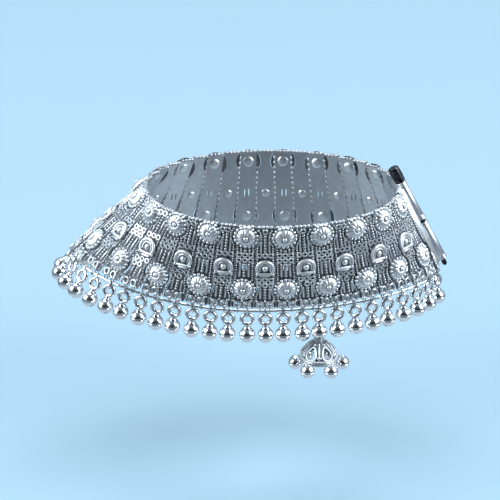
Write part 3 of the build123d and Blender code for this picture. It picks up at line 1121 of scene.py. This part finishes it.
def hanging_place(row, place):
    """Frame of a hanging bell: origin on the border wire, y up and z outwards."""
    upper_point, lower_point = band_points(bell_share(row, place))
    across = unit(wire_step(row, place))
    slope = unit(lower_point - upper_point)
    lean = BACK_LEAN if slope[0] > 0 else FRONT_LEAN
    weight = lean * min(1.0, abs(slope[0]) / FULL_LEAN_SLOPE)
    down = np.array([0, 0, -1.0]) * (1 - weight) + slope * weight
    down = unit(down - across * (down @ across))
    face = np.cross(across, -down)
    number = (row - 1) * BELLS_IN_ROW + place
    sway = math.radians(SWAY_DEGREES * math.sin(2.1 * number + 0.4))
    across = across * math.cos(sway) + np.cross(face, across) * math.sin(sway)
    return Place(wire_point(row, place), across, face)


def round_bell(radius):
    """Hollow round bell of two pressed halves: a seam at its waist, a slit below painted dark as shade, and
    a cap above.
    """
    points, faces, values = ball(radius, 28, 16)
    slit = (points[:, 2] < -0.45 * radius) & (np.abs(points[:, 1]) < 0.08 * radius)
    points[slit] *= 0.78
    # The slit is painted near black: painted shade of the hollow inside
    values[slit] = 0.05
    shape = Shape()
    shape.add((points, faces, values))
    shape.add(ring(radius * 0.985, radius * 0.045, 28, 6, relief=0.7))
    shape.add(moved(pad(radius * 0.36, radius * 0.16, 12, 3, 0.5), (0, 0, radius * 0.96)))
    return shape.part()


BELL = round_bell(BALL_RADIUS)


def jump_ring():
    """Round ring in the XY plane with a small solder joint."""
    radii = np.full(24, RING_WIRE)
    radii[12:14] *= 1.08
    return tube(circle(RING_RADIUS, 24), radii, 12, closed=True, relief=1.0)


def neck():
    """Flared neck from a jump ring's foot down to its bell."""
    top = -RING_FALL - RING_RADIUS
    foot = -BALL_FALL + BALL_RADIUS - 0.25
    # Its foot against the bell is darker: painted shade
    profile = (
        (1.3, foot, 0.5), (1.25, foot + 0.35, 0.8), (0.85, foot + 0.6, 1.0),
        (0.72, (top + foot) / 2, 1.0), (0.8, top - 0.3, 1.0), (0.5, top + 0.1, 1.0),
    )
    return turned(lathe(profile, 16), -90, "x")


def eyelet():
    """Narrow upright loop in the YZ plane, from the border wire down into a jump ring."""
    path = []
    for across, along in round_steps(18):
        y = (EYELET_TOP + EYELET_FOOT) / 2 + along * (EYELET_TOP - EYELET_FOOT) / 2
        path.append((0.0, y, across * EYELET_HALF_WIDTH))
    return tube(path, EYELET_WIRE, 7, closed=True, normal=(1, 0, 0), relief=0.9)


def ring_and_bell(slit_turn=0.0):
    """Ring, neck and round bell, hanging down -Y from the border wire."""
    shape = Shape()
    shape.add(moved(jump_ring(), (0, -RING_FALL, 0)))
    shape.add(neck())
    shape.add(moved(turned(turned(BELL, slit_turn), -90, "x"), (0, -BALL_FALL, 0)))
    return shape.part()


def bell_row(row):
    """One row of bells, with its stretch of border wire."""
    shape = Shape()
    corners = [wire_point(row, place + 0.5) for place in range(BELLS_IN_ROW + 1)]
    shape.add(tube(corners, WIRE_RADIUS, 12, relief=0.85))
    for corner in corners[1:]:
        shape.add(moved(ball(WIRE_RADIUS * 1.02, 12, 8, 0.85), corner))
    for place in range(1, BELLS_IN_ROW + 1):
        if row == DROP_ROW and place == DROP_PLACE:
            continue
        number = (row - 1) * BELLS_IN_ROW + place
        here = hanging_place(row, place)
        shape.add(eyelet(), here)
        shape.add(ring_and_bell(SLIT_SWING * math.sin(5.3 * number)), here)
    return shape.part()


def make_bells():
    """All rows of the fringe."""
    for row in range(1, BELL_ROWS + 1):
        name = f"bell_row_{row}"
        make_object(name + "_detail", bell_row(row), BELL_SILVER, "band", [name])


# ---------------------------------------------------------------- drop


def drop_place():
    """Frame of the main drop: origin on the border wire, y up and z outwards."""
    across = wire_step(DROP_ROW, DROP_PLACE) * (1, 1, 0)
    return Place(wire_point(DROP_ROW, DROP_PLACE), across, np.cross(across, (0, 0, 1.0)))


def drop_hanger(hang):
    """Eyelet on the border wire, and the ring and round bell below it."""
    shape = Shape()
    on_wire = Place(hang.origin, hang.z, unit(wire_step(DROP_ROW, DROP_PLACE)))
    eye = pipe(DROP_EYELET_BORE, DROP_EYELET_RADIUS, DROP_EYELET_LENGTH, 28, 0.2)
    shape.add(moved(eye, (0, 0, -DROP_EYELET_LENGTH / 2)), on_wire)
    shape.add(ring_and_bell(), hang)
    return shape.part()


def drop_bells(standing):
    """Six little bells on a wire under the dome's rim."""
    shape = Shape()
    shape.add(ring(DROP_WIRE_CIRCLE, DROP_WIRE_RADIUS, 48, height=-DROP_WIRE_FALL, relief=0.8), standing)
    small = moved(round_bell(DROP_BELL_RADIUS), (DROP_BELL_CIRCLE, 0, -DROP_BELL_FALL))
    for k in range(DROP_BELLS):
        shape.add(turned(small, 360 * k / DROP_BELLS), standing)
    return shape.part()


def dome_radius_at(share):
    """Outer radius of the drop's dome at a share of its height from its top."""
    return DOME_NECK + (DOME_RADIUS - DOME_NECK) * math.sin(math.pi / 2 * share) ** 0.8


def dome_point(angle, share, lift=0.0):
    """Point of the dome's outside at an angle in degrees, lifted off its surface."""
    turn = math.radians(angle)
    radius = dome_radius_at(share) + lift
    level = -DOME_TOP - (DOME_FALL - DOME_TOP) * share
    return (radius * math.cos(turn), radius * math.sin(turn), level + 0.4 * lift)


def window_edge(along):
    """Edge of an arched window at a share round it: degrees from its middle and share of the height."""
    turn = 2 * math.pi * along
    wide, tall = WINDOW_ABOVE if math.sin(turn) > 0 else WINDOW_BELOW
    return wide * math.cos(turn), WINDOW_SHARE - tall * math.sin(turn)


def inside_window(angle, share):
    """Whether a place on the dome lies in one of its six arched windows or the round ones over the ribs."""
    turn = (angle + 30) % 60 - 30
    wide, tall = WINDOW_ABOVE if share < WINDOW_SHARE else WINDOW_BELOW
    if (turn / wide) ** 2 + ((share - WINDOW_SHARE) / tall) ** 2 < 1:
        return True
    across = math.radians(30 - abs(turn)) * dome_radius_at(share)
    return math.hypot(across, (share - ROUND_WINDOW_SHARE) * DOME_SLOPE) < ROUND_WINDOW_RADIUS


def dome_shell():
    """Thin shell of the dome with its windows cut through, its inside painted darker than its outside as
    shade.
    """
    points = []
    for inset in (0.0, DOME_WALL):
        for j in range(DOME_LEVELS + 1):
            for k in range(DOME_COLUMNS):
                points.append(dome_point(360 * k / DOME_COLUMNS, j / DOME_LEVELS, -inset))
    kept = set()
    for j in range(DOME_LEVELS):
        for k in range(DOME_COLUMNS):
            if not inside_window(360 * (k + 0.5) / DOME_COLUMNS, (j + 0.5) / DOME_LEVELS):
                kept.add((j, k))
    layer = (DOME_LEVELS + 1) * DOME_COLUMNS
    faces = []
    for j, k in sorted(kept):
        after = (k + 1) % DOME_COLUMNS
        a = j * DOME_COLUMNS + k
        b = j * DOME_COLUMNS + after
        c = b + DOME_COLUMNS
        d = a + DOME_COLUMNS
        faces.append((a, d, c, b))
        faces.append((a + layer, b + layer, c + layer, d + layer))
        sides = (
            ((j - 1, k), b, a), ((j + 1, k), d, c),
            ((j, (k - 1) % DOME_COLUMNS), a, d), ((j, after), c, b),
        )
        for beside, p, q in sides:
            if beside not in kept:
                faces.append((q, p, p + layer, q + layer))
    # Inside painted darker than outside: painted shade
    return np.array(points), faces, np.array([0.4] * layer + [0.1] * layer)


def window_rim(angle):
    """Wire round the arched window at an angle."""
    path = []
    for j in range(32):
        turn, share = window_edge(j / 32)
        path.append(dome_point(angle + turn, share, 0.05))
    facing = unit(np.array(dome_point(angle, WINDOW_SHARE)) * (1, 1, 0) + (0, 0, 2.5))
    return tube(path, WINDOW_WIRE, closed=True, normal=facing, relief=1.0)


def dome_rib(angle):
    """Wire down the dome at an angle."""
    path = [dome_point(angle, 0.08 + 0.88 * j / 10, 0.12) for j in range(11)]
    return tube(path, DOME_RIB_RADIUS, normal=unit(np.array(path[5]) * (1, 1, 0)), relief=1.0)


def dome_part(standing):
    """Openwork dome: shell, rims round its windows, ribs between them, beads, foot wire and cap."""
    shape = Shape()
    shape.add(dome_shell(), standing)
    for k in range(DROP_BELLS):
        angle = 60 * k
        shape.add(window_rim(angle), standing)
        shape.add(dome_rib(angle + 30), standing)
        for turn, share, radius in DOME_BEADS:
            shape.add(moved(ball(radius, 10, 6), dome_point(angle + turn, share, 0.1)), standing)
    foot = dome_point(0, 1.0)
    shape.add(ring(foot[0], DOME_FOOT_WIRE, 72, height=foot[2] + 0.1, relief=0.9), standing)
    for k in range(FOOT_BEADS):
        spot = dome_point(360 * k / FOOT_BEADS, 0.9, 0.1)
        shape.add(moved(ball(0.4, 8, 6), spot), standing)
    shape.add(moved(lathe(DOME_CAP, 28), (0, 0, -DOME_TOP)), standing)
    return shape.part()


def make_drop():
    """Hanger, openwork dome and little bells of the main drop."""
    hang = drop_place()
    standing = Place(hang.origin, (1, 0, 0), (0, 0, 1))
    for name, part, material in (
        ("drop_hanger", drop_hanger(hang), BELL_SILVER),
        ("drop_dome", dome_part(standing), SILVER),
        ("drop_bells", drop_bells(standing), BELL_SILVER),
    ):
        make_object(name + "_detail", part, material, "drop", [name])


# ---------------------------------------------------------------- clasp


def clasp_place():
    """Frame of the clasp: origin at the top of the pin's line, y up along it, and that line's length."""
    top, foot = band_points(0.0)
    up = unit(top - foot)
    across = np.array([0, 1.0, 0])
    return Place(top, across, np.cross(across, up)), np.linalg.norm(top - foot)


def bar_stripes(shape, strip, side, around):
    """Upright rods of an end bar, the last one beaded, clear of the rosettes beside it."""
    for way, radius in BAR_STRIPES:
        across = 1 - way if side < 0 else way
        start = (strip.across(0.0, across), -0.3, BAR_THICKNESS)
        end = (strip.across(1.0, across), strip.foot + 0.3, BAR_THICKNESS)
        for first, last in clear_spans(start, end, around, 0.35):
            if radius > 0.5:
                shape.add(rod(first, last, radius, 14, relief=1.0), strip.place)
            else:
                shape.add(beaded_rod(first, last, radius, 0.9), strip.place)


def bar_rims(shape, strip, side):
    """Beaded rods along an end bar's top and foot, which stop short of the pin."""
    ends = (0.02, 0.9) if side < 0 else (0.1, 0.98)
    for level, lift in ((0.0, -0.1), (1.0, 0.1)):
        y = strip.foot * level + lift
        start, end = [(strip.across(level, way), y, BAR_THICKNESS * 0.6) for way in ends]
        shape.add(rod(start, end, 0.6, 12, relief=0.8), strip.place)
        shape.add(beaded_rod(start, end, 0.78, 1.2, 10), strip.place)


def knuckle_web(strip, side, pin_line, top_level, foot_level):
    """Plate that joins an end bar to its knuckle, with its edges along the pin."""
    web = []
    for level, reaches in ((top_level, WEB_REACHES), (foot_level, WEB_REACHES[::-1])):
        x = pin_line[0] + (pin_line[1] - pin_line[0]) * level / strip.foot
        web.extend((x + side * reach, level) for reach in reaches)
    return slab(web, [], BAR_THICKNESS, 0.6)


def barrel(length):
    """Knuckle that holds the pin: a pipe with two collars near each end."""
    shape = Shape()
    shape.add(pipe(BARREL_BORE, BARREL_RADIUS, length, 32))
    first, second = COLLAR_INSETS
    for level in (first, second, length - second, length - first):
        shape.add(ring(BARREL_RADIUS - 0.02, COLLAR_WIRE, 32, height=level, relief=1.0))
    return turned(shape.part(), 90, "x")


def end_bar_piece(name, side, knuckle):
    """Striped end bar on one side of the pin (-1 near, 1 far), with its own knuckle of the barrel."""
    strip = Strip(0.0, END_SHARE) if side < 0 else Strip(1 - END_SHARE, 1.0)
    pin_side = 1 if side < 0 else 0
    pin_line = (strip.side(0, pin_side), strip.side(1, pin_side))
    strip.narrow(pin_side, BAR_CLEARANCE)
    next_place = 0.5 if side < 0 else LINK_PAIRS - 0.5
    around = neighbour_circles(strip.place, (next_place,), LARGE_ROSETTES)
    shape = Shape()
    # The plate is painted dark between the stripes: painted shade with tarnish
    shape.add(slab(link_outline(strip, around), [], BAR_THICKNESS, 0.15), strip.place)
    bar_stripes(shape, strip, side, around)
    bar_rims(shape, strip, side)
    clasp, length = clasp_place()
    top_level = min(knuckle[0] + length * TOP_SHARE, 0)
    foot_level = knuckle[1] + length * TOP_SHARE
    shape.add(knuckle_web(strip, side, pin_line, top_level, foot_level), strip.place)
    shape.add(moved(barrel(knuckle[0] - knuckle[1]), (0, knuckle[0], BARREL_LIFT)), clasp)
    make_object(name + "_detail", shape.part(), SILVER, "band", [name])


def pin_piece():
    """Pin of the clasp: a rod with a grooved barrel-shaped knob on top and a rounded tail."""
    clasp, length = clasp_place()
    foot = -(length * FOOT_SHARE) - PIN_TAIL
    knob_top = KNOB_GAP + KNOB_LENGTH
    outline = [
        (0.0, foot), (0.45, foot + 0.1), (PIN_RADIUS - 0.1, foot + 0.45),
        (PIN_RADIUS, foot + 0.9), (PIN_RADIUS, -0.4), (PIN_RADIUS, KNOB_GAP),
        (KNOB_RADIUS - 0.35, KNOB_GAP),
    ]
    outline += [(KNOB_RADIUS + swell, KNOB_GAP + KNOB_LENGTH * share) for share, swell in KNOB_PROFILE]
    outline += [(KNOB_RADIUS - 0.45, knob_top), (0.0, knob_top)]
    profile = [(radius, height, 1.0) for radius, height in outline]
    shape = Shape()
    shape.add(moved(turned(lathe(profile, 40), -90, "x"), (0, 0, BARREL_LIFT)), clasp)
    make_object("clasp_pin_detail", shape.part(), DARK_STEEL, "pin", ["clasp_pin"], 35)


def make_clasp():
    """Both end bars and the pin."""
    foot = -clasp_place()[1] * FOOT_SHARE
    end_bar_piece("end_bar_near", -1, (0.0, foot / 2 + KNUCKLE_GAP / 2))
    end_bar_piece("end_bar_far", 1, (foot / 2 - KNUCKLE_GAP / 2, foot))
    pin_piece()


# ---------------------------------------------------------------- room


def make_camera():
    """Camera at the anklet's middle, seen from the side with the drop and from a little above."""
    low, high = cad_box
    middle = (Vector(low) + Vector(high)) / 2
    azimuth = math.radians(CAMERA_AZIMUTH)
    elevation = math.radians(CAMERA_ELEVATION)
    back = Vector((
        math.sin(azimuth) * math.cos(elevation),
        -math.cos(azimuth) * math.cos(elevation),
        math.sin(elevation),
    ))
    data = bpy.data.cameras.new("camera")
    data.lens = CAMERA_LENS
    camera = bpy.data.objects.new("camera", data)
    camera.location = middle + back * CAMERA_DISTANCE
    camera.rotation_euler = back.to_track_quat("Z", "Y").to_euler()
    bpy.context.scene.collection.objects.link(camera)
    bpy.context.scene.camera = camera


def make_floor():
    """Wide pale floor a little below the anklet."""
    level = cad_box[0][2] - FLOOR_DROP
    mesh = bpy.data.meshes.new("floor")
    signs = ((-1, -1), (1, -1), (1, 1), (-1, 1))
    corners = [(FLOOR_REACH * x, FLOOR_REACH * y, level) for x, y in signs]
    mesh.from_pydata(corners, [], [(0, 1, 2, 3)])
    mesh.materials.append(floor_material())
    floor = bpy.data.objects.new("floor", mesh)
    bpy.context.scene.collection.objects.link(floor)


def add_softbox(name, spot, size, power, colour):
    """Rectangular area light at a spot, facing the anklet."""
    data = bpy.data.lights.new(name, "AREA")
    data.shape = "RECTANGLE"
    data.size, data.size_y = size
    data.energy = power
    data.color = colour
    light = bpy.data.objects.new(name, data)
    light.location = spot
    light.rotation_euler = Vector(spot).to_track_quat("Z", "Y").to_euler()
    light.visible_camera = False
    bpy.context.scene.collection.objects.link(light)


def make_world():
    """Soft pale surroundings; the metal mirrors a dim room on the drop's side and a pale one behind."""
    world = bpy.data.worlds.new("studio")
    world.use_nodes = True
    tree = world.node_tree
    tree.nodes.clear()
    direction = add_node(tree, "TexCoord", {})["Generated"]
    depth = add_node(tree, "SeparateXYZ", {"Vector": direction})["Y"]
    power = add_node(tree, "MapRange", {**MIRRORED_ROOM, "Value": depth})["Result"]
    ray = add_node(tree, "LightPath", {})
    pale = add_node(tree, "Background", {"Color": PALE_COLOUR, "Strength": PALE_STRENGTH})[0]
    mirrored = add_node(tree, "Background", {"Color": MIRRORED_COLOUR, "Strength": power})[0]
    seen = add_node(tree, "Background", {"Color": BACKGROUND_COLOUR})[0]
    room = add_node(tree, "MixShader", {"Fac": ray["Is Glossy Ray"], 1: pale, 2: mirrored})[0]
    whole = add_node(tree, "MixShader", {"Fac": ray["Is Camera Ray"], 1: room, 2: seen})[0]
    add_node(tree, "OutputWorld", {"Surface": whole})
    bpy.context.scene.world = world


def make_room():
    """Floor, surroundings and soft lights."""
    bpy.context.scene.view_settings.view_transform = "Standard"
    make_floor()
    make_world()
    for softbox in SOFTBOXES:
        add_softbox(*softbox)


make_camera()
make_links()
make_bells()
make_drop()
make_clasp()
make_room()
